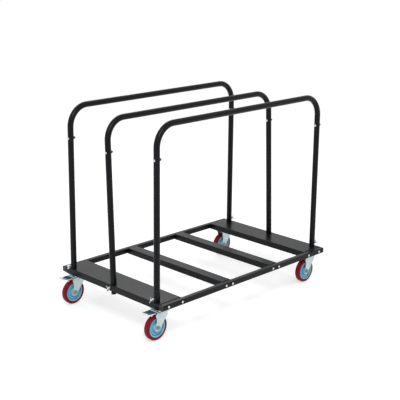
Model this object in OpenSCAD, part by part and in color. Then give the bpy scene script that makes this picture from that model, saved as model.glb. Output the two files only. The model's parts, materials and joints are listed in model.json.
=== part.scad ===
// Platform trolley with three lift-off hoops, on four swivel casters, two of them with total-lock brakes.
// +X runs along the trolley, with the braked casters at the -X end. +Z is up and the floor is at z = 0.
// The origin is on the floor, in the middle of the trolley's overall box.

/* [Platform] */
// Length over the outer faces of the end plates
platform_l = 1200; // [1000:1:1400]
// Width over the outer faces of the rails
platform_w = 750; // [640:1:900]
// Width of the rail tube
rail_w = 25; // [22:0.5:32]
// Height of the rail tube
rail_h = 27; // [24:0.5:28]
// Wall of the rail tube
rail_wall = 1.5; // [1.2:0.1:2.5]
// Corner radius of the rail tube
rail_r = 2.5; // [1.6:0.1:4]
// Head of the plastic plug that closes a rail
plug_t = 2.5; // [1.5:0.1:4]
// Length of the plug's shank inside the rail
plug_shank = 14; // [8:1:25]
// Wall of that shank
plug_wall = 1.5; // [1:0.1:2.5]
// Sheet of the folded end plates and cross members
sheet_t = 2; // [1.5:0.1:3]
// Outer radius of the folds
fold_r = 3.5; // [3.2:0.1:5]
// Depth of the end plates and cross members over their folded sides
flange_d = 31; // [29:0.5:36]
// Width of an end plate, along the trolley
end_plate_w = 140; // [136:1:180]
// Width of a cross member, along the trolley
cross_w = 60; // [50:1:90]
// Place of the cross member near the brake end, from the middle of the platform
cross_a_x = -150; // [-250:1:-80]
// Place of the other cross member, from the middle of the platform
cross_b_x = 202; // [80:1:280]
// Thickness of the plates that carry the casters
mount_t = 4; // [3:0.5:6]
// Length of those plates across the trolley, from the end plate's folded end inwards
mount_l = 88; // [86:1:110]

/* [Rail fastenings] */
// Thread of the bolts through the rails
rail_bolt_d = 6; // [5:0.5:8]
// Head of a rail bolt
rail_head_d = 12; // [10:0.5:15]
// Height of that head
rail_head_h = 3.4; // [2.5:0.1:5]
// Width across flats of the nuts behind the rails
rail_nut_af = 10; // [9:0.5:14]
// Height of those nuts
rail_nut_h = 5; // [4:0.5:7]
// From the end of the platform to the first bolt of an end plate
end_bolt_inset = 39; // [25:1:50]
// From the first bolt of an end plate to the second
end_bolt_pitch = 88; // [60:1:90]
// From the edge of a cross member to its bolts
cross_bolt_inset = 7.5; // [7.5:0.5:15]

/* [Hoops] */
// Outside diameter of the hoop tube
tube_d = 30; // [28:0.5:34]
// Wall of the hoop tube
tube_wall = 1.5; // [1.2:0.1:2]
// From the end of the platform to the middle of a leg
leg_inset = 22; // [20:0.5:30]
// From the side of the platform to the middle of a side hoop
hoop_inset = 64; // [50:1:90]
// Height of the side hoops' top bar above the deck, to its middle
hoop_h = 831; // [600:1:1000]
// Radius of the corner bends, to the middle of the tube
bow_r = 103; // [80:1:130]
// From the top bar's middle down to the bow's lower ends
bow_leg = 194; // [170:1:240]
// Length of the sleeve that joins a leg to its bow, above the seam
sleeve_l = 70; // [55:1:80]
// Length of the sleeve's part that is fixed in the leg
sleeve_root = 40; // [20:1:60]
// Height of the joint bolt above the seam
joint_bolt_up = 37; // [20:1:45]
// Thread of the joint bolts
joint_bolt_d = 6; // [5:0.5:8]
// Width across flats of the joint bolts
joint_af = 10; // [9:0.5:13]
// Height of the joint bolt's head
joint_head_h = 4; // [3:0.5:6]
// Width of the black caps on the joint bolts' nuts
cap_nut_af = 13; // [11:0.5:15]
// Length of those caps
cap_nut_l = 12.5; // [10:0.5:15]
// How much lower the middle hoop's bar is
middle_drop = 23; // [0:1:60]
// Lean of the middle hoop in the play of its holes
middle_lean = 2.3; // [0:0.1:2.5]
// Diameter of the stubs in the side hoops and of the middle hoop's spigots
stub_d = 25; // [22:0.5:26]
// Wall of the stubs and spigots
stub_wall = 2; // [1.5:0.1:3]
// Height of the stubs above the deck
stub_h = 50; // [30:1:80]
// Length of the spigots below the deck
spigot_l = 53; // [45:1:70]
// Play of the spigots in the end plates, at the radius
spigot_play = 1; // [0.6:0.1:1.4]

/* [Wing bolts] */
// Thread of the wing bolts
wing_bolt_d = 8; // [6:0.5:10]
// Hub of a wing bolt
wing_hub_d = 13; // [12:0.5:16]
// Length of that hub
wing_hub_l = 10; // [8:0.5:14]
// Width over the wings
wing_span = 28; // [24:0.5:30]
// Length of the wings along the bolt
wing_l = 15; // [12:0.5:18]
// Thickness of the wings
wing_t = 3; // [2:0.1:4]
// Thread left showing under the wing bolts' hubs, from the platform's end
wing_gap = 5; // [0.3:0.1:8]
// Height of the side hoops' wing bolts above the deck, and depth of the middle hoop's below it
wing_off = 15.5; // [15.1:0.1:17]
// Width across flats of the weld nuts
clamp_nut_af = 13; // [12:0.5:16]
// Height of the weld nuts
clamp_nut_h = 5; // [4:0.5:6]

/* [Caster mounting] */
// Height of a caster, floor to plate
caster_h = 159; // [156:0.5:175]
// From the end of the platform to the swivel axis
caster_inset_x = 48; // [48:1:60]
// From the side of the platform to the swivel axis
caster_inset_y = 64; // [64:1:74]
// Length of a caster's top plate, along the trolley
plate_l = 90; // [86:1:92]
// Width of a caster's top plate
plate_w = 76; // [70:1:78]
// Thickness of the top plate
plate_t = 3; // [2.5:0.1:4]
// Corner radius of the top plate
plate_r = 8; // [4:0.5:12]
// Bolt spacing of the top plate, along the trolley
plate_pitch_x = 70; // [66:0.5:72]
// Bolt spacing of the top plate, across the trolley
plate_pitch_y = 56; // [52:0.5:58]
// Length by which each bolt slot is longer than it is wide
slot_extra = 4; // [0:0.5:6]
// Thread of the plate bolts
plate_bolt_d = 8; // [6:0.5:8]
// Width across flats of the plate bolts and their nuts
plate_bolt_af = 13; // [12:0.5:14]
// Height of the plate bolts' heads
plate_head_h = 5.3; // [4:0.1:5.5]
// Height of the plate bolts' nuts
plate_nut_h = 6.5; // [5:0.1:8]

/* [Caster swivel] */
// Diameter of the king pin
kingpin_d = 12; // [10:0.5:14]
// Outer radius of the ball races
race_r = 32; // [30:0.5:34]
// Width of the ball races
race_w = 12; // [10:0.5:14]
// Diameter of the balls
ball_d = 6; // [5:0.5:6]
// Number of balls in a caster
ball_n = 14; // [8:1:18]
// Height of a race ring
race_h = 3; // [2.5:0.1:3.5]
// Gap between the two race rings
race_gap = 3; // [2.5:0.1:3.5]
// Radius of the collar under the fork
collar_r = 15; // [12:0.5:16]
// Height of that collar
collar_h = 3; // [2:0.5:4]
// Width across flats of the king pin's nut
kingpin_nut_af = 19; // [17:0.5:21]
// Height of the king pin's nut
kingpin_nut_h = 5.5; // [4:0.5:6]

/* [Caster fork] */
// Sheet of the fork
fork_t = 3; // [2.5:0.1:3.5]
// Gap between the fork's legs
fork_gap = 36; // [34.4:0.2:40]
// From the swivel axis back to the axle
trail = 35; // [30:0.5:40]
// Radius of the fork's ends round the axle
fork_end_r = 14; // [13:0.5:18]
// From the swivel axis to the fork's front edge
fork_front = 25; // [20:0.5:30]
// Height of the fork's front edge before it slopes to the axle
fork_front_drop = 24; // [10:1:30]
// How far the fork's back edges are drawn in, at their narrowest
fork_waist = 4; // [1:0.5:6]
// Radius of that hollow curve
fork_waist_r = 60; // [45:1:90]
// Height by which the fork's back corners slope down from its crown
fork_slope = 6; // [2:0.5:8]
// By how much each shoulder of the fork is wider than its leg
shoulder_out = 9; // [4:0.5:10]
// Depth of the shoulders
shoulder_h = 18; // [14:1:24]

/* [Caster wheel] */
// Diameter of a wheel
wheel_d = 127; // [120:0.5:130]
// Width of the tread
tread_w = 28; // [24:0.5:32]
// Depth of the tread
tread_t = 15.5; // [10:0.5:18]
// Radius of the tread's shoulders
tread_r = 7.5; // [4:0.5:9]
// Width of the hub at its middle
hub_w = 34; // [30:0.2:34]
// Wall of the hub's rim under the tread
rim_t = 5; // [3:0.5:7]
// How far the rim's edges stay inside the tread's sides
rim_inset = 1; // [0.5:0.5:3]
// Thickness of the hub's disc
web_t = 11; // [8:0.5:16]
// Wall of the hub's boss outside the bearings
boss_wall = 5; // [4:0.5:7]
// Width of the raised ring on the disc
ring_w = 4; // [2:0.5:6]
// Height of that ring
ring_h = 3; // [1:0.5:4]
// Outer diameter of the bearings
bearing_d = 32; // [28:0.5:35]
// Width of a bearing
bearing_w = 10; // [8:0.5:12]
// Diameter of the sleeve that the bearings run on
axle_sleeve_d = 15; // [13:0.5:17]
// Thread of the axle bolt
axle_d = 10; // [8:0.5:12]
// Width across flats of the axle bolt and its nut
axle_af = 17; // [15:0.5:19]
// Height of the axle bolt's head
axle_head_h = 6.4; // [5:0.1:8]
// Height of the axle nut
axle_nut_h = 8; // [6:0.1:10]

/* [Brake pedal] */
// From the swivel axis back to the pedal's tip
pedal_reach = 108; // [104:1:116]
// Width of the pedal's blade
pedal_w = 48; // [42:1:54]
// Corner radius of the blade at its tip
pedal_corner = 7; // [3:0.5:10]
// Sheet of the pedal
pedal_t = 2.5; // [2:0.1:3]
// Rise of the blade from the pad to its tip
pedal_rise = 3.2; // [0:0.2:4]
// Depth of the blade's turned-down sides
pedal_lip = 5.5; // [3:0.5:7]
// Radius of the round ears on those sides
pedal_ear_r = 7; // [5:0.5:8]
// Thickness of the cheeks that turn on the pivot
pedal_cheek = 2.5; // [2:0.1:3]
// From the swivel axis back to the pedal's pivot
pedal_pivot_x = 22; // [20:0.5:24]
// Diameter of the pedal's pivot pin
pedal_pin_d = 6; // [5:0.5:6]
// Height of the brake's shoe above the tread while the pedal is up
shoe_lift = 4.4; // [4.4:0.1:5]
// Length of that shoe
shoe_l = 10; // [6:0.5:12]
// Length of the grip pad on the pedal
pad_l = 27; // [18:1:30]
// How far the pad stays inside the blade's sides
pad_inset = 3; // [2:0.5:6]
// Thickness of the pad
pad_t = 1.8; // [1:0.1:2]

/* [Clearances] */
// Between flat faces that rest on each other
seat = 0.1; // [0.05:0.01:0.2]
// Radial clearance of a pin that turns in its bore
run_gap = 0.05; // [0.02:0.01:0.1]
// Radial clearance of a bolt in its hole
bolt_gap = 0.3; // [0.2:0.05:0.5]
// Gap between a sliding or rolling part and what it passes
slip = 0.3; // [0.2:0.05:0.5]

/* [Hidden] */
$fn = 64;

// Heights
mount_z = caster_h;
deck_z = mount_z + flange_d;
rail_z = deck_z - sheet_t - rail_h;
rail_mid_z = rail_z + rail_h / 2;
foot_z = deck_z + seat;

// Places across and along the platform
rail_y = platform_w / 2 - rail_w / 2;
pan_y = platform_w / 2 - rail_w;
end_plate_x = platform_l / 2 - end_plate_w / 2;
leg_x = platform_l / 2 - leg_inset;
hoop_y = platform_w / 2 - hoop_inset;
caster_x = platform_l / 2 - caster_inset_x;
caster_y = platform_w / 2 - caster_inset_y;
end_bolt_x = platform_l / 2 - end_bolt_inset;
cross_bolt_x = cross_w / 2 - cross_bolt_inset;
bolt_places = [
    -end_bolt_x, -end_bolt_x + end_bolt_pitch,
    cross_a_x - cross_bolt_x, cross_a_x + cross_bolt_x,
    cross_b_x - cross_bolt_x, cross_b_x + cross_bolt_x,
    end_bolt_x - end_bolt_pitch, end_bolt_x
];

// Tubes of the hoops
tube_r = tube_d / 2;
bore_r = tube_r - tube_wall;
sleeve_r = bore_r - seat;
stub_r = stub_d / 2;
middle_foot_z = foot_z + tube_r * sin(middle_lean);

// Wing bolts: the tip stops short of the stub, and the hub clears the nut on the leg
wing_tip_x = leg_x + stub_r + slip;
wing_hub_x = platform_l / 2 + wing_gap;
wing_tip_r = 3.4;
wing_tip = [wing_span / 2 - wing_tip_r, wing_hub_l * 0.6 + wing_l - wing_tip_r * 2];
wing_reach = wing_hub_x + wing_tip.y + wing_tip_r;

// Caster heights, from the top plate down
plate_z = caster_h - plate_t;
race_mid_r = race_r - race_w / 2;
ball_z = plate_z - race_h - race_gap / 2;
crown_z = ball_z - race_gap / 2 - race_h;
crown_under_z = crown_z - fork_t;
collar_z = crown_under_z - slip - collar_h;
axle_z = wheel_d / 2;
fork_outer = fork_gap / 2 + fork_t;
fork_back = trail + fork_end_r;
hub_r = axle_z - tread_t;
boss_r = bearing_d / 2 + boss_wall;
pedal_pivot_z = crown_under_z - 7.5;
pedal_under_z = crown_under_z - 1.2;
pedal_inside = fork_gap / 2 - slip - 0.5;
blade_z = crown_z - 0.7;
blade_start = fork_back + 4;
blade_bend = blade_start + pad_l + 2;
shoe_x = -trail - 4;
shoe_z = wheel_d + shoe_lift;
bolt_head_z = plate_z - plate_head_h;

// The origin is midway between the pedals' tips and the far wing bolts
middle_x = (caster_x + pedal_reach - wing_reach) / 2;

brake_near = [-caster_x, -caster_y];
brake_far = [-caster_x, caster_y];
plain_near = [caster_x, -caster_y];
plain_far = [caster_x, caster_y];
caster_places = [brake_near, brake_far, plain_near, plain_far];

paint = [0.14, 0.14, 0.15];
zinc = [0.78, 0.80, 0.82];
plastic_black = [0.07, 0.07, 0.08];
tread_red = [0.45, 0.07, 0.11];
hub_blue = [0.38, 0.70, 0.84];
pad_blue = [0.16, 0.24, 0.32];

// Everything is drawn about the middle of the platform and then moved to the origin of the box
module on_platform() {
    translate([middle_x, 0, 0]) children();
}

// One copy at each end, the second one turned about the upright axis
module both_ends(x) {
    translate([-x, 0, 0]) children();
    translate([x, 0, 0]) rotate([0, 0, 180]) children();
}

// A cylinder along X that starts at x = 0
module rod_x(r, l) {
    rotate([0, 90, 0]) cylinder(r = r, h = l);
}

// A cylinder along Y that starts at y = 0
module rod_y(r, l) {
    rotate([-90, 0, 0]) cylinder(r = r, h = l);
}

// A hexagonal prism along Z, measured over its flats
module hex(af, h) {
    cylinder(d = af / cos(30), h = h, $fn = 6);
}

// A flat outline drawn in XZ and given a thickness along Y, about y = 0
module along_y(w) {
    rotate([90, 0, 0]) linear_extrude(w, center = true) children();
}

// A section drawn in YZ and given a length along X, about x = 0
module along_x(l) {
    rotate([90, 0, 90]) linear_extrude(l, center = true) children();
}

// A rectangle with round corners, about the origin
module round_rect(w, h, r) {
    square([w - 2 * r, h], center = true);
    square([w, h - 2 * r], center = true);
    for (x = [-1, 1], y = [-1, 1]) {
        translate([x * (w / 2 - r), y * (h / 2 - r)]) circle(r);
    }
}

// The point where a line from p touches a circle about c; side picks one of the two
function tangent_point(p, c, r, side) =
    let (v = p - c, a = atan2(v.y, v.x) + side * acos(r / norm(v)))
    c + r * [cos(a), sin(a)];

// Platform

// The rail tube's outline, or one that lies inside it, with its corners no sharper than 0.3
module rail_section(grow = 0) {
    round_rect(rail_w + 2 * grow, rail_h + 2 * grow, max(rail_r + grow, 0.3));
}

module rail(side) {
    color(paint) on_platform() difference() {
        translate([0, side * rail_y, rail_mid_z]) along_x(platform_l - 2 * plug_t) difference() {
            rail_section();
            rail_section(-rail_wall);
        }
        for (x = bolt_places) {
            translate([x, side * rail_y - rail_w, rail_mid_z]) rod_y(rail_bolt_d / 2 + bolt_gap, 2 * rail_w);
        }
    }
}

module rail_plugs() {
    color(plastic_black) on_platform() for (x = [-1, 1], y = [-1, 1]) {
        translate([x * platform_l / 2, y * rail_y, rail_mid_z]) {
            translate([-x * plug_t / 2, 0, 0]) along_x(plug_t) rail_section();
            translate([-x * (plug_t + plug_shank / 2), 0, 0]) along_x(plug_shank) difference() {
                rail_section(-rail_wall - seat);
                rail_section(-rail_wall - seat - plug_wall);
            }
        }
    }
}

// A folded plate's outline from the side, its top at z = 0, or the hollow that lies one sheet inside it
module folded_outline(w, inset = 0) {
    half = w / 2 - inset;
    r = fold_r - inset;
    low = -flange_d - inset;
    translate([-half, low]) square([2 * half, -inset - r - low]);
    translate([r - half, low]) square([2 * (half - r), -inset - low]);
    for (s = [-1, 1]) {
        translate([s * (half - r), -inset - r]) circle(r);
    }
}

module folded_block(w, l, inset = 0) {
    intersection() {
        along_y(l) folded_outline(w, inset);
        along_x(w) folded_outline(l, inset);
    }
}

// A plate between the rails, folded down on all four sides, with bolt holes at both ends
module pan(w, bolts) {
    l = 2 * (pan_y - seat);
    difference() {
        translate([0, 0, deck_z]) difference() {
            folded_block(w, l);
            folded_block(w, l, sheet_t);
        }
        for (x = bolts, s = [-1, 1]) {
            translate([x, s * pan_y - rail_w, rail_mid_z]) rod_y(rail_bolt_d / 2 + bolt_gap, 2 * rail_w);
        }
    }
}

// The end plate at the -X end; the other one is this one turned round
module end_plate() {
    edge = -end_plate_w / 2;
    leg = edge + leg_inset;
    first = edge + end_bolt_inset;
    difference() {
        pan(end_plate_w, [first, first + end_bolt_pitch]);
        translate([leg, 0, deck_z - 2 * sheet_t]) cylinder(r = stub_r + spigot_play, h = 3 * sheet_t);
        translate([edge - 1, 0, deck_z - wing_off]) rod_x(wing_bolt_d / 2 + bolt_gap, sheet_t + 2);
    }
}

module brake_end_plate() {
    color(paint) on_platform() translate([-end_plate_x, 0, 0]) end_plate();
}

module plain_end_plate() {
    color(paint) on_platform() translate([end_plate_x, 0, 0]) rotate([0, 0, 180]) end_plate();
}

module cross_member(x) {
    color(paint) on_platform() translate([x, 0, 0]) pan(cross_w, [-cross_bolt_x, cross_bolt_x]);
}

// A round-headed bolt that enters a rail from outside
module rail_bolt() {
    shank = rail_w + sheet_t + 2 * seat + rail_nut_h;
    socket_af = rail_bolt_d * 0.66;
    dome_r = rail_head_d / 2;
    difference() {
        union() {
            rotate([90, 0, 0]) intersection() {
                cylinder(r = dome_r, h = rail_head_h);
                translate([0, 0, rail_head_h - dome_r * 1.6]) sphere(dome_r * 1.6);
            }
            rod_y(rail_bolt_d / 2, shank);
        }
        translate([0, -rail_head_h + rail_head_h * 0.6, 0]) rotate([90, 0, 0]) hex(socket_af, rail_head_h);
    }
}

module rail_bolts() {
    color(zinc) on_platform() for (x = bolt_places) {
        translate([x, -platform_w / 2 - seat / 2, rail_mid_z]) rail_bolt();
        translate([x, platform_w / 2 + seat / 2, rail_mid_z]) rotate([0, 0, 180]) rail_bolt();
    }
}

module rail_nuts() {
    start = pan_y - seat - sheet_t - seat;
    color(zinc) on_platform() for (x = bolt_places, s = [-1, 1]) {
        translate([x, s * start, rail_mid_z]) rotate([s * 90, 0, 0]) rotate([0, 0, 30]) difference() {
            hex(rail_nut_af, rail_nut_h);
            translate([0, 0, -1]) cylinder(r = rail_bolt_d / 2 + run_gap, h = rail_nut_h + 2);
        }
    }
}

// Plates welded into the end plates' corners, with the casters' bolt holes
module caster_mount_plates() {
    inner = end_plate_w - 2 * sheet_t - 2 * seat;
    start = pan_y - sheet_t - 2 * seat;
    color(paint) on_platform() for (p = caster_places) {
        end = sign(p.x);
        side = sign(p.y);
        difference() {
            translate([end * end_plate_x, side * (start - mount_l / 2), mount_z + mount_t / 2]) {
                cube([inner, mount_l, mount_t], center = true);
            }
            translate([p.x, p.y, mount_z - 1]) {
                plate_holes() cylinder(d = plate_bolt_d + 2 * bolt_gap, h = mount_t + 2);
            }
            translate([p.x, p.y, mount_z - 1]) cylinder(d = kingpin_d + 4, h = mount_t + 2);
        }
    }
}

module plate_holes() {
    for (x = [-1, 1], y = [-1, 1]) {
        translate([x * plate_pitch_x / 2, y * plate_pitch_y / 2, 0]) children();
    }
}

// Hoops

module hoop_stubs() {
    color(paint) on_platform() for (x = [-1, 1], y = [-1, 1]) {
        translate([x * leg_x, y * hoop_y, deck_z]) difference() {
            cylinder(r = stub_r, h = stub_h);
            translate([0, 0, -1]) cylinder(r = stub_r - stub_wall, h = stub_h + 2);
        }
    }
}

// Nuts behind the end plates' flanges for the middle hoop's wing bolts
module clamp_nuts() {
    color(paint) on_platform() both_ends(platform_l / 2 - sheet_t) {
        translate([seat, 0, deck_z - wing_off]) clamp_nut();
    }
}

module clamp_nut() {
    rotate([0, 90, 0]) difference() {
        hex(clamp_nut_af, clamp_nut_h);
        translate([0, 0, -1]) cylinder(r = wing_bolt_d / 2 + run_gap, h = clamp_nut_h + 2);
    }
}

// Puts a hoop on the deck: at y, with its legs' feet at z, leaning by an angle
module at_hoop(y, z, lean = 0) {
    on_platform() translate([0, y, z]) rotate([-lean, 0, 0]) children();
}

module at_near_hoop() {
    at_hoop(-hoop_y, foot_z) children();
}

module at_middle_hoop() {
    at_hoop(0, middle_foot_z, middle_lean) children();
}

module at_far_hoop() {
    at_hoop(hoop_y, foot_z) children();
}

// The bent top of a hoop whose bar is at height h
module bow(h) {
    seam = h - bow_leg;
    straight = bow_leg - bow_r;
    color(paint) difference() {
        for (s = [-1, 1]) {
            translate([s * leg_x, 0, seam]) difference() {
                cylinder(r = tube_r, h = straight);
                translate([0, 0, -1]) cylinder(r = bore_r, h = straight + 1);
            }
            translate([s * (leg_x - bow_r), 0, h - bow_r]) rotate([90, 0, 0]) {
                rotate([0, 0, s > 0 ? 0 : 90]) rotate_extrude(angle = 90) {
                    translate([bow_r, 0]) difference() {
                        circle(tube_r);
                        circle(bore_r);
                    }
                }
            }
            translate([s > 0 ? 0 : -leg_x + bow_r, 0, h]) difference() {
                rod_x(tube_r, leg_x - bow_r);
                translate([-1, 0, 0]) rod_x(bore_r, leg_x - bow_r + 2);
            }
        }
        for (s = [-1, 1]) {
            translate([s * leg_x - tube_d, 0, seam + joint_bolt_up]) {
                rod_x(joint_bolt_d / 2 + bolt_gap, 2 * tube_d);
            }
        }
    }
}

// A leg with the sleeve for its bow; foot is the length of the spigot below, or 0
module leg(h, foot) {
    seam = h - bow_leg - seat;
    sleeve_bore = sleeve_r - 1.5;
    difference() {
        union() {
            rotate_extrude() polygon([
                [bore_r, 0], [tube_r, 0], [tube_r, seam], [sleeve_r, seam],
                [sleeve_r, seam + sleeve_l], [sleeve_bore, seam + sleeve_l],
                [sleeve_bore, seam - sleeve_root], [bore_r, seam - sleeve_root]
            ]);
            if (foot > 0) {
                rotate_extrude() polygon([
                    [stub_r - stub_wall, -foot], [stub_r, -foot], [stub_r, 0], [tube_r, 0],
                    [tube_r, sleeve_root / 2], [stub_r - stub_wall, sleeve_root / 2]
                ]);
            }
        }
        translate([-tube_d, 0, seam + seat + joint_bolt_up]) rod_x(joint_bolt_d / 2 + bolt_gap, 2 * tube_d);
        if (foot == 0) {
            translate([-tube_d, 0, wing_off]) rod_x(wing_bolt_d / 2 + bolt_gap, tube_d);
        }
    }
}

module brake_leg(h, foot = 0) {
    color(paint) translate([-leg_x, 0, 0]) leg(h, foot);
}

module plain_leg(h, foot = 0) {
    color(paint) translate([leg_x, 0, 0]) rotate([0, 0, 180]) leg(h, foot);
}

// The joint bolts of a hoop, all with their heads towards the brake end
module joint_bolts(h) {
    color(zinc) for (s = [-1, 1]) {
        translate([s * leg_x - tube_r - seat, 0, h - bow_leg + joint_bolt_up]) {
            rod_x(joint_bolt_d / 2, tube_d + 2 * seat + cap_nut_l * 0.6);
            rotate([0, -90, 0]) {
                cylinder(d = joint_af * 1.25, h = 1);
                hex(joint_af, joint_head_h);
            }
        }
    }
}

module cap_nuts(h) {
    dome_r = cap_nut_af * 0.46;
    color(plastic_black) for (s = [-1, 1]) {
        translate([s * leg_x + tube_r + seat, 0, h - bow_leg + joint_bolt_up]) rotate([0, 90, 0]) difference() {
            union() {
                hex(cap_nut_af, cap_nut_l - dome_r);
                cylinder(r = dome_r, h = cap_nut_l - dome_r);
                translate([0, 0, cap_nut_l - dome_r]) sphere(dome_r);
            }
            translate([0, 0, -1]) cylinder(r = joint_bolt_d / 2 + run_gap, h = cap_nut_l * 0.6 + 1 + 2 * seat);
        }
    }
}

// The weld nuts on a side hoop's legs, cut to sit on the round tube
module leg_nuts() {
    color(paint) for (s = [0, 180]) {
        rotate([0, 0, s]) difference() {
            translate([-leg_x - tube_r - clamp_nut_h + 1, 0, wing_off]) clamp_nut();
            translate([-leg_x, 0, 0]) cylinder(r = tube_r + seat / 2, h = 2 * wing_off);
        }
    }
}

// Wing bolts

// One ear of the wings: it leans outwards from the hub and ends round
module wing_ear() {
    low = [wing_hub_d / 2 - 1, 1.5];
    high = [0, wing_hub_l * 0.45];
    polygon([
        [0, low.y], low, tangent_point(low, wing_tip, wing_tip_r, 1), wing_tip,
        tangent_point(high, wing_tip, wing_tip_r, -1), high
    ]);
    translate(wing_tip) circle(wing_tip_r);
}

// A wing bolt along -X: its tip is at x = tip and its hub begins at x = hub
module wing_bolt(tip, hub, turn) {
    color(zinc) rotate([turn, 0, 0]) {
        translate([-hub, 0, 0]) {
            rod_x(wing_bolt_d / 2, hub - tip);
            rotate([0, -90, 0]) {
                cylinder(d1 = wing_hub_d, d2 = wing_hub_d * 0.8, h = wing_hub_l);
                rotate([90, 0, 0]) linear_extrude(wing_t, center = true) {
                    wing_ear();
                    mirror([1, 0]) wing_ear();
                }
            }
        }
    }
}

module hoop_wing_bolt(y, z, end, turn) {
    on_platform() translate([0, y, z]) rotate([0, 0, end > 0 ? 180 : 0]) wing_bolt(wing_tip_x, wing_hub_x, turn);
}

// Casters, drawn about the swivel axis with the floor at z = 0

module at_caster(p) {
    on_platform() translate([p.x, p.y, 0]) children();
}

module race_groove(z) {
    translate([0, 0, z]) rotate_extrude() translate([race_mid_r, 0]) circle(d = ball_d + 2 * seat);
}

// Top plate with its upper race, king pin, collar and nut
module caster_top() {
    difference() {
        union() {
            translate([0, 0, plate_z]) linear_extrude(plate_t) difference() {
                round_rect(plate_l, plate_w, plate_r);
                for (x = [-1, 1], y = [-1, 1]) {
                    translate([x * plate_pitch_x / 2, y * plate_pitch_y / 2]) {
                        d = plate_bolt_d + 2 * bolt_gap;
                        round_rect(d + slot_extra, d, d / 2 - 0.01);
                    }
                }
            }
            translate([0, 0, plate_z - race_h]) cylinder(r = race_r, h = race_h);
        }
        race_groove(ball_z);
        translate([0, 0, plate_z - race_h - 1]) cylinder(r = race_r - race_w, h = race_h + 1);
    }
    translate([0, 0, collar_z]) cylinder(d = kingpin_d, h = plate_z - collar_z);
    translate([0, 0, collar_z]) cylinder(r = collar_r, h = collar_h);
    translate([0, 0, collar_z - kingpin_nut_h]) hex(kingpin_nut_af, kingpin_nut_h);
}

module caster_top_plates() {
    color(zinc) for (p = caster_places) {
        at_caster(p) caster_top();
    }
}

module caster_fasteners() {
    shank = plate_t + mount_t + 2 * seat + plate_nut_h + 1;
    color(zinc) for (p = caster_places) {
        at_caster(p) plate_holes() {
            translate([0, 0, bolt_head_z - seat]) {
                hex(plate_bolt_af, plate_head_h);
                cylinder(d = plate_bolt_d, h = plate_head_h + shank);
            }
            translate([0, 0, mount_z + mount_t + seat]) difference() {
                hex(plate_bolt_af, plate_nut_h);
                translate([0, 0, -1]) cylinder(r = plate_bolt_d / 2 + run_gap, h = plate_nut_h + 2);
            }
        }
    }
}

module caster_balls() {
    color(zinc) for (p = caster_places) {
        at_caster(p) for (i = [0:ball_n - 1]) {
            rotate([0, 0, i * 360 / ball_n]) translate([race_mid_r, 0, ball_z]) sphere(d = ball_d);
        }
    }
}

// The fork from the side: a hollow curve behind, an upright front edge, and a slope from it to the axle
module fork_outline() {
    front = [fork_front, crown_z - fork_front_drop];
    axle = [-trail, axle_z];
    difference() {
        union() {
            polygon([
                [-fork_back + fork_slope, crown_z], [-fork_back, crown_z - fork_slope], [-fork_back, axle_z], axle,
                tangent_point(front, axle, fork_end_r, -1), front, [fork_front, crown_z]
            ]);
            translate(axle) circle(fork_end_r);
        }
        translate([-fork_back + fork_waist - fork_waist_r, (axle_z + crown_z) / 2 - fork_slope / 2]) {
            circle(fork_waist_r, $fn = 96);
        }
    }
}

// The fork from behind: two legs, sloping shoulders and the crown
module fork_shell(inset) {
    leg_half = fork_outer - inset;
    wide = fork_outer + shoulder_out - inset;
    low = axle_z - fork_end_r - 1;
    bevel = fork_t;
    polygon([
        [-leg_half, low], [-leg_half, crown_z - shoulder_h], [-wide, crown_z - bevel - 1],
        [-wide + bevel, crown_z - inset], [wide - bevel, crown_z - inset], [wide, crown_z - bevel - 1],
        [leg_half, crown_z - shoulder_h], [leg_half, low]
    ]);
}

module fork(braked) {
    reach = fork_back + fork_front + 2;
    color(zinc) difference() {
        union() {
            intersection() {
                translate([(fork_front - fork_back) / 2, 0, 0]) along_x(reach) difference() {
                    fork_shell(0);
                    fork_shell(fork_t);
                    translate([0, axle_z - fork_end_r - 2]) square([fork_gap, 4], center = true);
                }
                along_y(2 * (fork_outer + shoulder_out) + 2) fork_outline();
            }
            translate([0, 0, crown_under_z]) cylinder(r = race_r + 1, h = fork_t);
            translate([0, 0, crown_z - 1]) cylinder(r = race_r, h = race_h + 1);
            if (braked) {
                translate([-pedal_pivot_x, -fork_outer - 1.5, pedal_pivot_z]) {
                    rod_y(pedal_pin_d / 2, 2 * fork_outer + 3);
                    rod_y(pedal_pin_d * 0.8, 1.6);
                    translate([0, 2 * fork_outer + 1.4, 0]) rod_y(pedal_pin_d * 0.8, 1.6);
                }
            }
        }
        race_groove(ball_z);
        translate([0, 0, crown_under_z - 1]) cylinder(r = kingpin_d / 2 + run_gap, h = fork_t + race_h + 3);
        translate([0, 0, crown_z]) cylinder(r = race_r - race_w, h = race_h + 1);
        translate([-trail, -fork_outer - 1, axle_z]) rod_y(axle_d / 2 + run_gap, 2 * fork_outer + 2);
    }
}

module caster_fork(p, braked = false) {
    at_caster(p) fork(braked);
}

// Axle bolt, nut and the sleeve between the fork's legs
module caster_axle(p) {
    color(zinc) at_caster(p) translate([-trail, 0, axle_z]) {
        translate([0, -fork_gap / 2 + seat, 0]) difference() {
            rod_y(axle_sleeve_d / 2, fork_gap - 2 * seat);
            translate([0, -1, 0]) rod_y(axle_d / 2 + run_gap, fork_gap + 2);
        }
        translate([0, -fork_outer - seat - axle_nut_h - 2, 0]) rod_y(axle_d / 2, 2 * fork_outer + axle_nut_h + 3);
        translate([0, fork_outer + seat, 0]) rotate([-90, 0, 0]) hex(axle_af, axle_head_h);
        translate([0, -fork_outer - seat, 0]) rotate([90, 0, 0]) difference() {
            hex(axle_af, axle_nut_h);
            translate([0, 0, -1]) cylinder(r = axle_d / 2 + run_gap, h = axle_nut_h + 2);
        }
    }
}

// Turns a profile of radius and width about the wheel's axle
module about_axle(p) {
    at_caster(p) translate([-trail, 0, axle_z]) rotate([90, 0, 0]) rotate_extrude($fn = 96) children();
}

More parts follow.
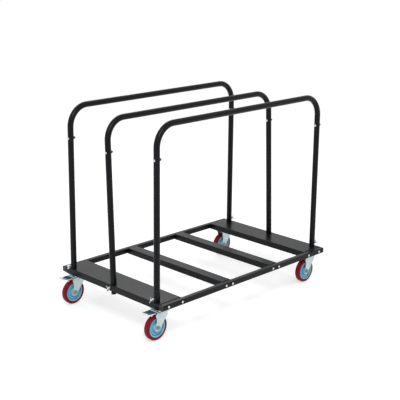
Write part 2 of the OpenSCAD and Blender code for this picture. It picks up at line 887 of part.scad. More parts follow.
module caster_tread(p) {
    depth = tread_t - seat;
    color(tread_red) about_axle(p) translate([hub_r + seat, 0]) {
        translate([0, -tread_w / 2]) square([depth - tread_r, tread_w]);
        translate([0, -tread_w / 2 + tread_r]) square([depth, tread_w - 2 * tread_r]);
        for (s = [-1, 1]) {
            translate([depth - tread_r, s * (tread_w / 2 - tread_r)]) circle(tread_r);
        }
    }
}

// The hub: a boss for the bearings, a sunk disc with a raised ring, and the rim under the tread
module caster_hub(p) {
    rim_w = tread_w - 2 * rim_inset;
    ring_r = (boss_r + hub_r - rim_t) / 2;
    color(hub_blue) about_axle(p) difference() {
        union() {
            translate([0, -hub_w / 2]) square([boss_r, hub_w]);
            translate([0, -web_t / 2]) square([hub_r, web_t]);
            translate([ring_r - ring_w / 2, -web_t / 2 - ring_h]) square([ring_w, web_t + 2 * ring_h]);
            translate([hub_r - rim_t, -rim_w / 2]) square([rim_t, rim_w]);
        }
        translate([0, -hub_w]) square([axle_sleeve_d / 2 + 2, 2 * hub_w]);
        for (s = [-1, 1]) {
            translate([0, s * (hub_w / 2 - bearing_w / 2 + 0.5) - bearing_w / 2 - 0.5]) {
                square([bearing_d / 2, bearing_w + 1]);
            }
        }
    }
}

// Two sealed bearings, each with a shallow groove between its rings
module caster_bearings(p) {
    r = bearing_d / 2 - run_gap;
    bore = axle_sleeve_d / 2 + run_gap;
    color([0.6, 0.62, 0.65]) for (s = [-1, 1]) {
        about_axle(p) translate([0, s * (hub_w / 2 - bearing_w / 2)]) difference() {
            translate([bore, -bearing_w / 2]) square([r - bore, bearing_w]);
            translate([bore + (r - bore) * 0.28, s * bearing_w / 2 - 0.4]) square([(r - bore) * 0.46, 0.8]);
        }
    }
}

// The pedal from the side: it runs back under the crown, steps up behind the fork and rises to the tip
function pedal_line(drop) = [
    [-pedal_pivot_x - 3, pedal_under_z - drop],
    [-fork_back - 1, pedal_under_z - drop],
    [-blade_start, blade_z - drop],
    [-blade_bend, blade_z - drop],
    [-pedal_reach + pedal_corner, blade_z + pedal_rise - drop],
    [-pedal_reach, blade_z + pedal_rise - 0.5 - drop]
];

function backwards(list) = [for (i = [len(list) - 1:-1:0]) list[i]];

// The pedal from above: narrow between the fork's legs and wide behind them, with a round tip
module pedal_plan() {
    neck = fork_back + 3;
    shoulder = blade_start + 5;
    tip = pedal_reach - pedal_corner;
    translate([-neck - 1, -pedal_inside]) square([neck + 1, 2 * pedal_inside]);
    polygon([
        [-neck, pedal_inside], [-shoulder, pedal_w / 2], [-tip, pedal_w / 2],
        [-tip, -pedal_w / 2], [-shoulder, -pedal_w / 2], [-neck, -pedal_inside]
    ]);
    translate([-pedal_reach, pedal_corner - pedal_w / 2]) square([pedal_reach - neck, pedal_w - 2 * pedal_corner]);
    for (s = [-1, 1]) {
        translate([-tip, s * (pedal_w / 2 - pedal_corner)]) circle(pedal_corner);
    }
}

// A turned-down side of the blade, seen from the side, with a round ear below it
module pedal_side() {
    start = blade_start + 6;
    ear_x = -blade_bend + 2;
    polygon([
        [-start, blade_z - pedal_t / 2], [-start - pedal_lip, blade_z - pedal_lip],
        [ear_x, blade_z - pedal_lip], [ear_x - pedal_ear_r - 2, blade_z - pedal_t / 2]
    ]);
    translate([ear_x, blade_z - pedal_lip]) circle(pedal_ear_r - 1);
}

// A cheek from the side: it carries the pedal on the pivot and ends in the brake's shoe
module pedal_cheek_outline() {
    eye_r = pedal_pin_d / 2 + 3;
    translate([-pedal_pivot_x, pedal_pivot_z]) circle(eye_r);
    polygon([
        [-pedal_pivot_x, pedal_pivot_z - eye_r + 1], [-pedal_pivot_x, pedal_pivot_z + eye_r - 1],
        [-fork_back, pedal_under_z - 1], [-fork_back, shoe_z + pedal_t], [shoe_x - shoe_l / 2, shoe_z]
    ]);
}

module caster_pedal(p) {
    color(zinc) at_caster(p) difference() {
        union() {
            intersection() {
                along_y(pedal_w + 2) polygon(concat(pedal_line(0), backwards(pedal_line(pedal_t))));
                translate([0, 0, pedal_pivot_z - 20]) linear_extrude(60) pedal_plan();
            }
            for (s = [-1, 1]) {
                translate([0, s * (pedal_w - pedal_t) / 2, 0]) along_y(pedal_t) pedal_side();
                translate([0, s * (pedal_inside - pedal_cheek / 2), 0]) along_y(pedal_cheek) pedal_cheek_outline();
            }
            translate([shoe_x - shoe_l / 2, -pedal_inside, shoe_z]) {
                cube([shoe_l, 2 * pedal_inside, pedal_under_z - pedal_t / 2 - shoe_z]);
            }
        }
        translate([-pedal_pivot_x, -fork_outer, pedal_pivot_z]) {
            rod_y(pedal_pin_d / 2 + run_gap, 2 * fork_outer);
        }
    }
}

// The grip pad on the pedal's blade
module caster_pad(p) {
    color(pad_blue) at_caster(p) translate([-blade_start - 1 - pad_l / 2, 0, blade_z + seat]) {
        linear_extrude(pad_t) round_rect(pad_l, pedal_w - 2 * pad_inset, 3);
    }
}

rail(-1);  // near_rail
rail(1);  // far_rail
rail_plugs();
brake_end_plate();
plain_end_plate();
cross_member(cross_a_x);  // cross_member_a
cross_member(cross_b_x);  // cross_member_b
rail_bolts();
rail_nuts();
caster_mount_plates();
hoop_stubs();
clamp_nuts();
caster_top_plates();
caster_fasteners();
caster_balls();
at_near_hoop() bow(hoop_h);  // near_hoop_bow
at_near_hoop() brake_leg(hoop_h);  // near_hoop_brake_leg
at_near_hoop() plain_leg(hoop_h);  // near_hoop_plain_leg
at_near_hoop() joint_bolts(hoop_h);  // near_hoop_bolts
at_near_hoop() { cap_nuts(hoop_h); leg_nuts(); }  // near_hoop_nuts
at_middle_hoop() bow(hoop_h - middle_drop);  // middle_hoop_bow
at_middle_hoop() brake_leg(hoop_h - middle_drop, spigot_l);  // middle_hoop_brake_leg
at_middle_hoop() plain_leg(hoop_h - middle_drop, spigot_l);  // middle_hoop_plain_leg
at_middle_hoop() joint_bolts(hoop_h - middle_drop);  // middle_hoop_bolts
at_middle_hoop() cap_nuts(hoop_h - middle_drop);  // middle_hoop_nuts
at_far_hoop() bow(hoop_h);  // far_hoop_bow
at_far_hoop() brake_leg(hoop_h);  // far_hoop_brake_leg
at_far_hoop() plain_leg(hoop_h);  // far_hoop_plain_leg
at_far_hoop() joint_bolts(hoop_h);  // far_hoop_bolts
at_far_hoop() { cap_nuts(hoop_h); leg_nuts(); }  // far_hoop_nuts
hoop_wing_bolt(-hoop_y, foot_z + wing_off, -1, 12);  // near_brake_wing_bolt
hoop_wing_bolt(-hoop_y, foot_z + wing_off, 1, 50);  // near_plain_wing_bolt
hoop_wing_bolt(0, deck_z - wing_off, -1, -15);  // middle_brake_wing_bolt
hoop_wing_bolt(0, deck_z - wing_off, 1, 80);  // middle_plain_wing_bolt
hoop_wing_bolt(hoop_y, foot_z + wing_off, -1, -35);  // far_brake_wing_bolt
hoop_wing_bolt(hoop_y, foot_z + wing_off, 1, 20);  // far_plain_wing_bolt
caster_fork(brake_near, true);  // brake_near_fork
caster_axle(brake_near);  // brake_near_axle
caster_tread(brake_near);  // brake_near_tread
caster_hub(brake_near);  // brake_near_hub
caster_bearings(brake_near);  // brake_near_bearings
caster_pedal(brake_near);  // brake_near_pedal
caster_pad(brake_near);  // brake_near_pad
caster_fork(brake_far, true);  // brake_far_fork
caster_axle(brake_far);  // brake_far_axle
caster_tread(brake_far);  // brake_far_tread
caster_hub(brake_far);  // brake_far_hub
caster_bearings(brake_far);  // brake_far_bearings
caster_pedal(brake_far);  // brake_far_pedal
caster_pad(brake_far);  // brake_far_pad
caster_fork(plain_near);  // plain_near_fork
caster_axle(plain_near);  // plain_near_axle
caster_tread(plain_near);  // plain_near_tread
caster_hub(plain_near);  // plain_near_hub
caster_bearings(plain_near);  // plain_near_bearings
caster_fork(plain_far);  // plain_far_fork
caster_axle(plain_far);  // plain_far_axle
caster_tread(plain_far);  // plain_far_tread
caster_hub(plain_far);  // plain_far_hub
caster_bearings(plain_far);  // plain_far_bearings
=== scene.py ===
"""The looks of the platform trolley: finishes, small dressings, floor, light and camera."""
import json
import math
import random

import bmesh
import bpy
from mathutils import Matrix, Vector


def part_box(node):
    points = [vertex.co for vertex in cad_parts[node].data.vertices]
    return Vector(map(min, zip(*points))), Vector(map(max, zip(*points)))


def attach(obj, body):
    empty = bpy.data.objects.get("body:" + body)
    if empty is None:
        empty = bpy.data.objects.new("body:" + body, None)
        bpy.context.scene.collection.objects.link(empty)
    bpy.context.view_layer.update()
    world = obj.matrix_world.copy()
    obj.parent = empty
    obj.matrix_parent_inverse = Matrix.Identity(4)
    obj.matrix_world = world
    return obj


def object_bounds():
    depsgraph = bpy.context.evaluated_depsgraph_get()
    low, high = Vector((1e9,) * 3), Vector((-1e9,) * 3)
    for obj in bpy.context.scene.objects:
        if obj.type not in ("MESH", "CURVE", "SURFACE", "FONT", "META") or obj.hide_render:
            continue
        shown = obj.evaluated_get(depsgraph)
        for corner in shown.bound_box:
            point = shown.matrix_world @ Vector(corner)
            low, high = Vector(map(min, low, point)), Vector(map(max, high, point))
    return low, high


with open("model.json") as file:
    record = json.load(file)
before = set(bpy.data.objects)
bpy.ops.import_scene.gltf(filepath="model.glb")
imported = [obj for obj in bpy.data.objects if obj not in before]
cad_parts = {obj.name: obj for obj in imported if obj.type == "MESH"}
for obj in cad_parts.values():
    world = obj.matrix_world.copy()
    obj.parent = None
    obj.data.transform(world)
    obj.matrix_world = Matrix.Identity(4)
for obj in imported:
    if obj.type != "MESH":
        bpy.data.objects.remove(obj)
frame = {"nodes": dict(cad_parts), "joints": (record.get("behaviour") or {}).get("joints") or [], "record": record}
NODES = frame["nodes"]
cad_lo, cad_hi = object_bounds()
random.seed(7)

MM = 0.001
WHITE = (1, 1, 1, 1)

# The trolley's two ends, each with the sign of its X
ENDS = (("brake", -1), ("plain", 1))

# The camera, fitted to the photograph's edges: millimetres from the platform's middle, degrees and pixels
EYE = Vector((-3369.0, -3338.7, 1871.9))
AZIMUTH, ELEVATION, ROLL = -45.678, 14.817, 0.709
FOCAL_PX = 947.7
CENTRE_PX = (204.87, 178.15)
PHOTO_PX = 400
SENSOR_MM = 36.0
CLIP_NEAR, CLIP_FAR = 0.1, 100


def platform_middle():
    """X of the platform's middle, midway between the outer sides of the two end plates."""
    left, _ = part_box("brake_end_plate")
    _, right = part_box("plain_end_plate")
    return (left.x + right.x) / 2


def add_camera():
    az, el, roll = (math.radians(a) for a in (AZIMUTH, ELEVATION, ROLL))
    out = Vector((math.sin(az) * math.cos(el), -math.cos(az) * math.cos(el), math.sin(el)))
    right = Vector((math.cos(az), math.sin(az), 0))
    up = out.cross(right)
    c, s = math.cos(roll), math.sin(roll)
    right, up = c * right + s * up, -s * right + c * up
    cam = bpy.data.cameras.new("camera")
    cam.sensor_width = SENSOR_MM
    cam.lens = FOCAL_PX / PHOTO_PX * SENSOR_MM
    cam.shift_x = (PHOTO_PX / 2 - CENTRE_PX[0]) / PHOTO_PX
    cam.shift_y = (CENTRE_PX[1] - PHOTO_PX / 2) / PHOTO_PX
    cam.clip_start, cam.clip_end = CLIP_NEAR, CLIP_FAR
    obj = bpy.data.objects.new("camera", cam)
    turn = Matrix((right, up, out)).transposed().to_4x4()
    place = EYE * MM + Vector((platform_middle(), 0, 0))
    obj.matrix_world = Matrix.Translation(place) @ turn
    bpy.context.scene.collection.objects.link(obj)
    bpy.context.scene.camera = obj


# Shader helpers

# The sockets of a colour mix: its two colours and its result
MIX_A, MIX_B, MIX_RESULT = 6, 7, 2

# How alike the rounded and the flat normal are where an edge begins and where it is at its full strength
EDGE_BEGINS, EDGE_FULL = 0.97, 0.8
EDGE_SAMPLES = 6


def add_node(tree, kind, inputs=None, **settings):
    n = tree.nodes.new("ShaderNode" + kind)
    for key, value in settings.items():
        setattr(n, key, value)
    for key, value in (inputs or {}).items():
        if isinstance(value, bpy.types.NodeSocket):
            tree.links.new(value, n.inputs[key])
        else:
            n.inputs[key].default_value = value
    return n


def new_material(name, colour, **sockets):
    """A principled material whose constant values are on the shader's own sockets."""
    mat = bpy.data.materials.new(name)
    mat.use_nodes = True
    mat.diffuse_color = (*colour, 1)
    tree = mat.node_tree
    shader = tree.nodes["Principled BSDF"]
    shader.inputs["Base Color"].default_value = (*colour, 1)
    for key, value in sockets.items():
        shader.inputs[key.replace("_", " ")].default_value = value
    return mat, tree, shader


def coords(tree, scale=(1, 1, 1)):
    place = add_node(tree, "TexCoord")
    return add_node(tree, "Mapping", {"Vector": place.outputs["Object"], "Scale": scale}).outputs[0]


def noise(tree, scale, detail=2.0, stretch=(1, 1, 1), roughness=0.5):
    return add_node(tree, "TexNoise", {
        "Vector": coords(tree, stretch), "Scale": scale, "Detail": detail, "Roughness": roughness,
    }).outputs["Fac"]


def spread(tree, value, low, high, to_low=0.0, to_high=1.0):
    """Maps the range from low to high on to another range, and clamps it."""
    return add_node(tree, "MapRange", {
        "Value": value, "From Min": low, "From Max": high, "To Min": to_low, "To Max": to_high,
    }).outputs["Result"]


def maths(tree, operation, a, b):
    return add_node(tree, "Math", {0: a, 1: b}, operation=operation).outputs[0]


def blend_colours(tree, factor, a, b):
    mix = add_node(tree, "Mix", {"Factor": factor}, data_type="RGBA")
    for key, value in ((MIX_A, a), (MIX_B, b)):
        if isinstance(value, bpy.types.NodeSocket):
            tree.links.new(value, mix.inputs[key])
        else:
            mix.inputs[key].default_value = (*value, 1)
    return mix.outputs[MIX_RESULT]


def layered(tree, body, layers):
    """A body colour with layers over it, each (mask socket, share of the mask, colour)."""
    for mask, share, colour in layers:
        body = blend_colours(tree, maths(tree, "MULTIPLY", mask, share), body, colour)
    return body


def scaled(colour, factor):
    return tuple(c * factor for c in colour)


def soft_edges(tree, radius):
    """The normal with its edges rounded, and how much of an edge a point is on."""
    rounded = add_node(tree, "Bevel", {"Radius": radius}, samples=EDGE_SAMPLES).outputs[0]
    flat = add_node(tree, "NewGeometry").outputs["Normal"]
    alike = add_node(tree, "VectorMath", {0: rounded, 1: flat}, operation="DOT_PRODUCT").outputs["Value"]
    return rounded, spread(tree, alike, EDGE_BEGINS, EDGE_FULL)


def bump(tree, shader, layers, normal):
    """Stacks bumps, each (height socket, strength, distance in metres), on the shader's normal."""
    for height, strength, distance in layers:
        normal = add_node(tree, "Bump", {
            "Height": height, "Strength": strength, "Distance": distance, "Normal": normal,
        }).outputs[0]
    tree.links.new(normal, shader.inputs["Normal"])


# Finishes

def powder_coat(name, colour, worn, level):
    """Semi-gloss powder coat: orange peel, cloudy gloss, a few scuffs and thin edges."""
    mat, tree, shader = new_material(name, colour, Specular_IOR_Level=level)
    normal, edge = soft_edges(tree, radius=1.2 * MM)
    cloud = noise(tree, scale=5.0, detail=3.0)
    patches = noise(tree, scale=34.0, detail=4.0)
    streaks = noise(tree, scale=60.0, detail=5.0, stretch=(0.12, 1, 1), roughness=0.65)
    scuffs = spread(tree, streaks, 0.63, 0.72)
    rubbed = maths(tree, "MULTIPLY", edge, spread(tree, patches, 0.42, 0.7))
    drift = blend_colours(tree, spread(tree, cloud, 0.3, 0.7), scaled(colour, 0.8), colour)
    body = layered(tree, drift, ((scuffs, 0.35, worn), (rubbed, 0.8, worn)))
    tree.links.new(body, shader.inputs["Base Color"])
    cloudy = spread(tree, cloud, 0.3, 0.7, to_low=0.27, to_high=0.36)
    gloss = maths(tree, "ADD", cloudy, maths(tree, "MULTIPLY", scuffs, 0.14))
    tree.links.new(gloss, shader.inputs["Roughness"])
    orange_peel = noise(tree, scale=380.0)
    grain = noise(tree, scale=1300.0, detail=1.0)
    bump(tree, shader, ((orange_peel, 0.34, 0.4 * MM), (grain, 0.12, 0.1 * MM)), normal)
    return mat


def zinc(name, colour, rough):
    """Bright zinc plate: faint crystals, fine rubbing marks and cloudy patches."""
    glint = (0.95, 0.97, 1.0)
    polish = (0.9, 0.92, 0.95)
    mat, tree, shader = new_material(name, colour, Metallic=1.0)
    normal, edge = soft_edges(tree, radius=0.8 * MM)
    crystals = add_node(tree, "TexVoronoi", {"Vector": coords(tree), "Scale": 240.0}).outputs["Color"]
    grey = add_node(tree, "RGBToBW", {"Color": crystals}).outputs[0]
    cloud = noise(tree, scale=45.0, detail=4.0)
    drift = blend_colours(tree, spread(tree, cloud, 0.35, 0.72), colour, scaled(colour, 0.78))
    body = layered(tree, drift, ((grey, 0.16, glint), (edge, 0.35, polish)))
    tree.links.new(body, shader.inputs["Base Color"])
    gloss = spread(tree, cloud, 0.3, 0.75, to_low=rough, to_high=rough + 0.14)
    tree.links.new(gloss, shader.inputs["Roughness"])
    waves = noise(tree, scale=300.0, detail=3.0)
    rubbing = noise(tree, scale=900.0, detail=1.0, stretch=(1, 1, 0.08))
    bump(tree, shader, ((waves, 0.12, 0.3 * MM), (rubbing, 0.08, 0.1 * MM)), normal)
    return mat


def axle_distance(tree):
    """How far a point of a wheel is from its axle, as a share of the wheel's own radius."""
    place = add_node(tree, "TexCoord").outputs["Generated"]
    flat = add_node(tree, "VectorMath", {0: place, 1: (2, 0, 2)}, operation="MULTIPLY").outputs[0]
    return add_node(tree, "VectorMath", {0: flat, 1: (1, 0, 1)}, operation="DISTANCE").outputs["Value"]


def rings_of(tree, distance, stops):
    """A value that changes with the distance from the axle; stops are (distance, value)."""
    ramp = add_node(tree, "ValToRGB", {"Fac": distance})
    marks = ramp.color_ramp.elements
    while len(marks) < len(stops):
        marks.new(1.0)
    for mark, (at, value) in zip(marks, stops):
        mark.position = at
        mark.color = (value, value, value, 1)
    return ramp.outputs["Color"]


def moulded(name, colour, rough, level=0.5, grain=0.15, radius=0.8 * MM, dust=(0.3, 0.3, 0.3), dusty=0.1,
            stops=None, shade=None):
    """Moulded plastic or polyurethane: fine grain, slow colour drift and a little dust.

    stops and shade give a wheel painted shade: a darker colour in its sunk rings, where shadow falls.
    """
    mat, tree, shader = new_material(name, colour, Specular_IOR_Level=level)
    normal, edge = soft_edges(tree, radius)
    cloud = noise(tree, scale=28.0, detail=4.0)
    body = blend_colours(tree, spread(tree, cloud, 0.3, 0.7), scaled(colour, 0.78), colour)
    # Painted shade: the wheel's sunk rings take the darker shade colour
    if stops:
        body = blend_colours(tree, rings_of(tree, axle_distance(tree), stops), body, shade)
    dirt = spread(tree, noise(tree, scale=90.0, detail=6.0, roughness=0.7), 0.5, 0.75)
    pale = tuple(min(1.0, c * 1.25 + 0.02) for c in colour)
    body = layered(tree, body, ((dirt, dusty, dust), (edge, 0.3, pale)))
    tree.links.new(body, shader.inputs["Base Color"])
    gloss = spread(tree, cloud, 0.3, 0.7, to_low=rough[0], to_high=rough[1])
    tree.links.new(gloss, shader.inputs["Roughness"])
    bump(tree, shader, ((noise(tree, scale=1100.0), grain, 0.1 * MM),), normal)
    return mat


# Painted shade darkens the hub's sunk rings, between its boss, its raised ring and its rim, where shadow falls in
# them
HUB_PAINTED_SHADE = (
    (0.0, 0.0), (0.44, 0.0),
    (0.47, 0.7), (0.6, 0.7),
    (0.63, 0.0), (0.71, 0.0),
    (0.74, 0.7), (0.87, 0.7),
    (0.9, 0.0), (1.0, 0.0),
)

# How each finish is made, by name
RECIPES = {
    "frame_coat": (powder_coat, {
        "colour": (0.0056, 0.0062, 0.0082), "worn": (0.05, 0.052, 0.056), "level": 0.142,
    }),
    "hoop_coat": (powder_coat, {
        "colour": (0.0026, 0.0031, 0.005), "worn": (0.04, 0.042, 0.047), "level": 0.16,
    }),
    "zinc_steel": (zinc, {"colour": (0.49, 0.58, 0.6), "rough": 0.3}),
    "white_zinc": (zinc, {"colour": (0.72, 0.75, 0.77), "rough": 0.24}),
    "axle_steel": (zinc, {"colour": (0.3, 0.3, 0.31), "rough": 0.32}),
    "bright_steel": (zinc, {"colour": (0.6, 0.61, 0.63), "rough": 0.2}),
    "black_plastic": (moulded, {"colour": (0.012, 0.012, 0.013), "rough": (0.42, 0.55)}),
    "red_tread": (moulded, {
        "colour": (0.26, 0.002, 0.016), "rough": (0.18, 0.3), "level": 0.14, "grain": 0.1,
        "radius": 1.0 * MM, "dust": (0.3, 0.04, 0.05), "dusty": 0.07,
    }),
    "blue_hub": (moulded, {
        "colour": (0.3, 0.76, 0.92), "rough": (0.28, 0.38), "level": 0.4, "grain": 0.08,
        "radius": 1.0 * MM, "dust": (0.45, 0.74, 0.85), "dusty": 0.12,
        # The stops and colour of the hub's painted shade in its sunk rings
        "stops": HUB_PAINTED_SHADE, "shade": (0.025, 0.24, 0.48),
    }),
    "pedal_pad": (moulded, {
        "colour": (0.016, 0.055, 0.08), "rough": (0.4, 0.55), "level": 0.5, "grain": 0.3,
    }),
}
FINISHES = {name: make(name, **values) for name, (make, values) in RECIPES.items()}

# The fasteners that show are plated whiter than the casters' pressed steel
WHITE_FASTENERS = ("rail_bolts", "hoop_bolts", "wing_bolt")


def dress_nodes():
    """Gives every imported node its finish."""
    for part in frame["record"]["subparts"]:
        node = part["node"]
        finish = "white_zinc" if node.endswith(WHITE_FASTENERS) else part["material_slot"]
        materials = NODES[node].data.materials
        materials.clear()
        materials.append(FINISHES[finish])


# Helpers for the small dressings

def mesh_piece(name, verts, faces, body, slot, finish=None):
    """A smooth mesh that rides on a body; its finish is its slot's own unless another is named."""
    mesh = bpy.data.meshes.new(name)
    mesh.from_pydata(verts, [], faces)
    bm = bmesh.new()
    bm.from_mesh(mesh)
    bmesh.ops.recalc_face_normals(bm, faces=bm.faces)
    bm.to_mesh(mesh)
    bm.free()
    for p in mesh.polygons:
        p.use_smooth = True
    mesh.materials.append(FINISHES[finish or slot])
    obj = bpy.data.objects.new(name, mesh)
    bpy.context.scene.collection.objects.link(obj)
    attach(obj, body)


def box_middle(node):
    """X, Y and Z of the middle of a node's box."""
    return tuple((a + b) / 2 for a, b in zip(*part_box(node)))


def bolt_height(body):
    """Height of a turning body's own joint axis."""
    return next(joint["pos_m"][2] for joint in frame["joints"] if joint["child"] == body)


def round_points(count):
    """The cosine and sine of evenly spaced angles round a circle."""
    return [(math.cos(a), math.sin(a)) for a in (2 * math.pi * k / count for k in range(count))]


def sweep(rings, closed=False):
    """Vertices and faces of a skin over rings of points: an endless loop, or capped at both ends."""
    count = len(rings[0])
    verts = [p for ring in rings for p in ring]
    faces = []
    for i in range(len(rings) if closed else len(rings) - 1):
        here, there = i * count, (i + 1) % len(rings) * count
        for j in range(count):
            k = (j + 1) % count
            faces.append((here + j, here + k, there + k, there + j))
    if not closed:
        faces.append(tuple(range(count)))
        faces.append(tuple(len(verts) - count + j for j in range(count)))
    return verts, faces


def joined(parts):
    """One mesh's vertices and faces from several."""
    verts, faces = [], []
    for more_verts, more_faces in parts:
        base = len(verts)
        verts += more_verts
        faces += [tuple(base + i for i in face) for face in more_faces]
    return verts, faces


# Threads

# The steps in a turn of the ridge
THREAD_STEPS = 20

# The ridge's inset from both ends and its profile, as shares of the pitch
THREAD_INSET = 0.35
ROOT_DEPTH, ROOT_HALF_WIDTH = 0.1, 0.44
CREST_HALF_WIDTH = 0.08
CREST_FADED, CREST_GROWTH = 0.09, 0.28

# The share of the growth that the ridge's end keeps
END_KEEPS = 0.1

WING_THREAD = {"radius": 4 * MM, "length": 4.6 * MM, "pitch": 1.25 * MM}
WING_THREAD_START = 0.4 * MM
AXLE_THREAD = {"radius": 5 * MM, "length": 2.0 * MM, "pitch": 0.9 * MM}
AXLE_THREAD_START = 2.1 * MM


def thread(name, body, start, direction, slot, radius, length, pitch, finish=None):
    """A screw thread's ridge, wound on a plain shank."""
    side = direction.orthogonal().normalized()
    other = direction.cross(side)
    last = (length / pitch - 2 * THREAD_INSET) * THREAD_STEPS
    root = radius - ROOT_DEPTH * pitch
    rings = []
    for i in range(int(last) + 1):
        turn = i / THREAD_STEPS
        angle = 2 * math.pi * turn
        fade = min(1.0, turn, (last - i) / THREAD_STEPS + END_KEEPS)
        out = side * math.cos(angle) + other * math.sin(angle)
        middle = start + direction * (pitch * (turn + THREAD_INSET))
        crest = radius + pitch * (CREST_FADED + CREST_GROWTH * fade)
        profile = (
            (root, -ROOT_HALF_WIDTH), (crest, -CREST_HALF_WIDTH),
            (crest, CREST_HALF_WIDTH), (root, ROOT_HALF_WIDTH),
        )
        rings.append([middle + out * reach + direction * (along * pitch) for reach, along in profile])
    mesh_piece(name, *sweep(rings), body, slot, finish)


def wing_bolt_threads():
    """The thread that shows between each wing bolt's hub and what it goes into."""
    for hoop in ("near", "middle", "far"):
        for end, sign in ENDS:
            name = f"{hoop}_{end}_wing_bolt"
            lo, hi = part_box(f"{end}_end_plate")
            face = lo.x if sign < 0 else hi.x
            _, y, _ = box_middle(name)
            start = Vector((face + sign * WING_THREAD_START, y, bolt_height(name)))
            out = Vector((sign, 0, 0))
            thread(f"{name}_thread", name, start, out, "zinc_steel", **WING_THREAD, finish="white_zinc")


def axle_threads():
    """The axle bolt's thread where it stands out of its nut."""
    for end, _ in ENDS:
        for side in ("near", "far"):
            caster = f"{end}_{side}"
            axle = f"{caster}_axle"
            x, _, z = box_middle(axle)
            lo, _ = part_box(axle)
            start = Vector((x, lo.y + AXLE_THREAD_START, z))
            out = Vector((0, -1, 0))
            thread(f"{axle}_thread", f"{caster}_swivel", start, out, "axle_steel", **AXLE_THREAD)


# The ribs on a pedal's pad
RIB_COUNT = 8
RIB_MARGIN = 2.4 * MM
RIB_END = 1.8 * MM
RIB_HALF_WIDTH = 0.85 * MM
RIB_HEIGHT = 0.95 * MM
RIB_SUNK = 0.15 * MM
RIB_STEPS = 8
RIB_SIDES = 12

# How large a rib's tips are, as a share of the whole, and how steeply it grows from them
RIB_TIP = 0.25
RIB_GROWTH = 3


def pad_ribs():
    """The grip ribs across each pedal's pad, which taper at their ends."""
    for caster in ("brake_near", "brake_far"):
        pad = f"{caster}_pad"
        lo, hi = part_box(pad)
        _, middle, _ = box_middle(pad)
        half = (hi.y - lo.y) / 2 - RIB_END
        parts = []
        for i in range(RIB_COUNT):
            x = lo.x + RIB_MARGIN + (hi.x - lo.x - 2 * RIB_MARGIN) * (i + 0.5) / RIB_COUNT
            rings = []
            for k in range(RIB_STEPS + 1):
                t = math.pi * k / RIB_STEPS
                y = middle - math.cos(t) * half
                size = RIB_TIP + (1 - RIB_TIP) * min(1.0, RIB_GROWTH * math.sin(t))
                rings.append([
                    Vector((x + RIB_HALF_WIDTH * size * c, y, hi.z - RIB_SUNK + RIB_HEIGHT * size * s))
                    for c, s in round_points(RIB_SIDES)
                ])
            parts.append(sweep(rings))
        mesh_piece(f"{pad}_ribs", *joined(parts), f"{caster}_brake_pedal", "pedal_pad")


# Weld beads. The swell and unevenness of their pools, and the size and growth of their ends, are shares of
# their radius.
BEAD_SIDES = 10
POOL_LENGTH = 2.0 * MM
POOL_SWELL = 0.14
UNEVENNESS = 0.05
BEAD_END, BEAD_END_GROWTH = 0.35, 0.3

NUT_WELD_RING = 7.3 * MM
NUT_WELD_RADIUS = 1.25 * MM
NUT_WELD_PROUD = 0.2 * MM
NUT_WELD_POINTS = 72

# Millimetres from the end plate's end to where each weld starts, and the points in a weld, one a millimetre
MOUNT_WELD_STARTS = (10, 40, 70)
MOUNT_WELD_POINTS = 16
MOUNT_WELD_INSET = 2.05 * MM
MOUNT_WELD_RADIUS = 1.3 * MM


def bead(path, radius, up, closed=False):
    """A weld bead along a path that is never along up: a thick line with the ripples of its pools."""
    count = len(path)
    rings = []
    walked = 0.0
    for i, point in enumerate(path):
        before = path[i - 1] if closed or i else path[0]
        after = path[(i + 1) % count] if closed or i < count - 1 else path[-1]
        along = (after - before).normalized()
        side = (up - along * up.dot(along)).normalized()
        other = along.cross(side)
        walked += (point - before).length
        swell = POOL_SWELL * math.sin(2 * math.pi * walked / POOL_LENGTH)
        grown = radius * (1 + swell + random.uniform(-UNEVENNESS, UNEVENNESS))
        if not closed:
            grown *= min(1.0, BEAD_END + min(i, count - 1 - i) * BEAD_END_GROWTH)
        rings.append([point + grown * (side * c + other * s) for c, s in round_points(BEAD_SIDES)])
    return sweep(rings, closed)


def leg_nut_welds():
    """The fillet round each nut that is welded to a side hoop's leg."""
    for hoop in ("near", "far"):
        parts = []
        for end, sign in ENDS:
            leg = f"{hoop}_hoop_{end}_leg"
            lo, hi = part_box(leg)
            tube = (hi.y - lo.y) / 2
            x, y, _ = box_middle(leg)
            z = bolt_height(f"{hoop}_{end}_wing_bolt")
            path = []
            for c, s in round_points(NUT_WELD_POINTS):
                across = NUT_WELD_RING * c
                out = math.sqrt(tube * tube - across * across) + NUT_WELD_PROUD
                path.append(Vector((x + sign * out, y + across, z + NUT_WELD_RING * s)))
            parts.append(bead(path, NUT_WELD_RADIUS, Vector((sign, 0, 0)), closed=True))
        mesh_piece(f"{hoop}_hoop_nut_welds", *joined(parts), f"{hoop}_hoop", "hoop_coat")


def mount_plate_welds():
    """Short welds under the inner edge of each plate that carries a caster."""
    parts = []
    for end, sign in ENDS:
        lo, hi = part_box(f"{end}_end_plate")
        x = hi.x - MOUNT_WELD_INSET if sign < 0 else lo.x + MOUNT_WELD_INSET
        for side in (-1, 1):
            for start in MOUNT_WELD_STARTS:
                ways = range(start, start + MOUNT_WELD_POINTS)
                path = [Vector((x, side * (hi.y - way * MM), lo.z)) for way in ways]
                parts.append(bead(path, MOUNT_WELD_RADIUS, Vector((0, 0, 1))))
    mesh_piece("mount_plate_welds", *joined(parts), "platform", "frame_coat")


# Floor and light

# The floor reaches this many metres each way, and a small gap keeps it clear of the wheels
FLOOR_REACH = 30
FLOOR_GAP = 0.5 * MM
FLOOR_GREY = (0.8, 0.8, 0.8, 1)
FLOOR_GLOW = 0.5

# How bright the backdrop is as a light, and to the eye
WORLD_UNSEEN, WORLD_SEEN = 0.62, 1.0

# Each softbox's place and the length of its sides in metres, and its power in watts
SOFTBOXES = {
    "key": ((-2.2, -2.0, 3.3), 1.3, 52),
    "fill": ((1.6, 2.4, 2.8), 1.4, 20),
}
LIGHT_AIM = Vector((0, 0, 0.5))


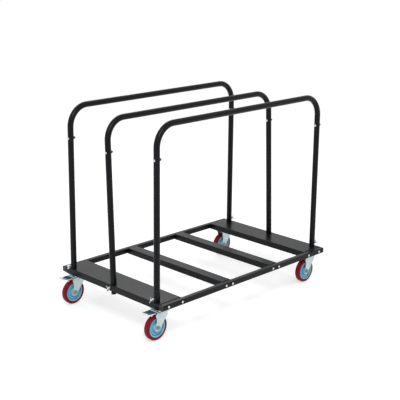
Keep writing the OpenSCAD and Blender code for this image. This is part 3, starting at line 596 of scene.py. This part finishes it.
def seen_directly(tree):
    """1 for a ray that shows the backdrop to the eye: straight, in a gloss or through something clear."""
    path = add_node(tree, "LightPath").outputs
    seen = maths(tree, "MAXIMUM", path["Is Camera Ray"], path["Is Glossy Ray"])
    return maths(tree, "MAXIMUM", seen, path["Is Transmission Ray"])


def add_floor():
    """A pale floor that goes white to the eye and still takes the object's shadow."""
    mesh = bpy.data.meshes.new("floor")
    corners = [(x * FLOOR_REACH, y * FLOOR_REACH, 0) for x, y in ((-1, -1), (1, -1), (1, 1), (-1, 1))]
    mesh.from_pydata(corners, [], [(0, 1, 2, 3)])
    floor = bpy.data.objects.new("floor", mesh)
    floor.location.z = cad_lo.z - FLOOR_GAP
    bpy.context.scene.collection.objects.link(floor)
    mat = bpy.data.materials.new("floor")
    mat.use_nodes = True
    tree = mat.node_tree
    tree.nodes.clear()
    diffuse = add_node(tree, "BsdfDiffuse", {"Color": FLOOR_GREY}).outputs[0]
    glow = add_node(tree, "Emission", {"Color": WHITE, "Strength": FLOOR_GLOW}).outputs[0]
    lit = add_node(tree, "AddShader", {0: diffuse, 1: glow}).outputs[0]
    surface = add_node(tree, "MixShader", {0: seen_directly(tree), 1: diffuse, 2: lit}).outputs[0]
    add_node(tree, "OutputMaterial", {"Surface": surface})
    mesh.materials.append(mat)


def add_world():
    """A white backdrop that gives less light than it shows."""
    world = bpy.data.worlds.new("studio")
    world.use_nodes = True
    tree = world.node_tree
    tree.nodes.clear()
    strength = spread(tree, seen_directly(tree), 0.0, 1.0, to_low=WORLD_UNSEEN, to_high=WORLD_SEEN)
    back = add_node(tree, "Background", {"Color": WHITE, "Strength": strength})
    add_node(tree, "OutputWorld", {"Surface": back.outputs[0]})
    bpy.context.scene.world = world


def add_softbox(name, place, side, power):
    light = bpy.data.lights.new(name, "AREA")
    light.shape = "SQUARE"
    light.size = side
    light.energy = power
    obj = bpy.data.objects.new(name, light)
    obj.location = place
    obj.rotation_mode = "QUATERNION"
    obj.rotation_quaternion = (LIGHT_AIM - Vector(place)).to_track_quat("-Z", "Y")
    bpy.context.scene.collection.objects.link(obj)


add_camera()
dress_nodes()
wing_bolt_threads()
axle_threads()
pad_ribs()
leg_nut_welds()
mount_plate_welds()
add_floor()
add_world()
for name, (place, side, power) in SOFTBOXES.items():
    add_softbox(name, place, side, power)
bpy.context.scene.view_settings.view_transform = "Standard"
